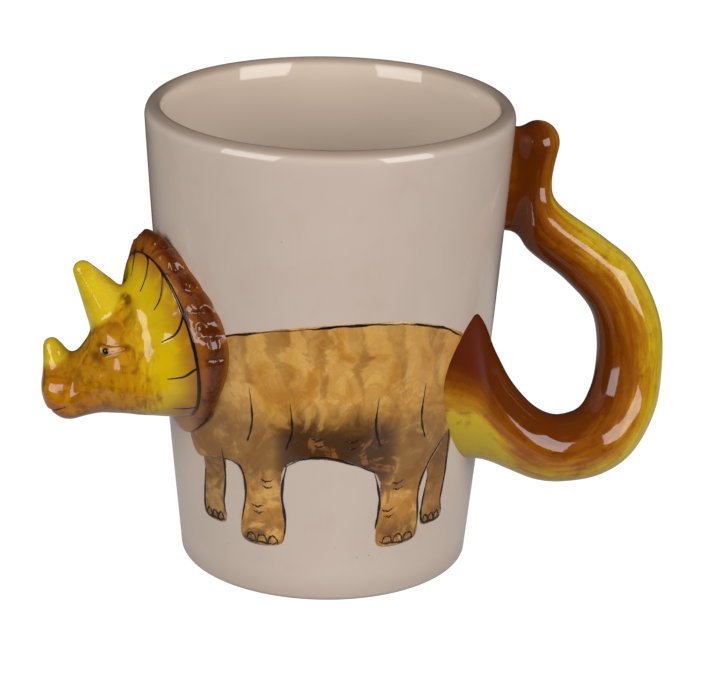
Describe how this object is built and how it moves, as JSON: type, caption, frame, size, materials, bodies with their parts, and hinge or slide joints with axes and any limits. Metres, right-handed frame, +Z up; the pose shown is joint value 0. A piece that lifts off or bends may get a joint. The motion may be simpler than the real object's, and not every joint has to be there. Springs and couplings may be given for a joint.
{
  "type": "dinosaur mug",
  "caption": "Tapered ceramic mug for hot drinks with a horned dinosaur's head on one side and its curled tail as the handle.",
  "frame": {"origin": "middle of the cup's foot, on the surface that the mug stands on", "axes": "+Z up along the cup's axis, +X toward the tail handle, -X toward the dinosaur's muzzle, -Y toward its flank"},
  "size_m": [0.137, 0.0812, 0.105],
  "materials": {
    "cup_glaze": "glossy clear glaze on a warm white body",
    "head_glaze": "glossy, brushed yellow to ochre brown",
    "rim_glaze": "glossy dark brown",
    "horn_glaze": "glossy yellow",
    "eye_glaze": "glossy black",
    "tail_glaze": "glossy, brushed brown to olive yellow"
  },
  "bodies": {
    "root": {"cup": "cup_glaze", "head": "head_glaze", "frill_rim": "rim_glaze", "nose_horn": "horn_glaze", "brow_horn": "horn_glaze", "eye_left": "eye_glaze", "eye_right": "eye_glaze", "tail_handle": "tail_glaze"}
  },
  "joints": []
}
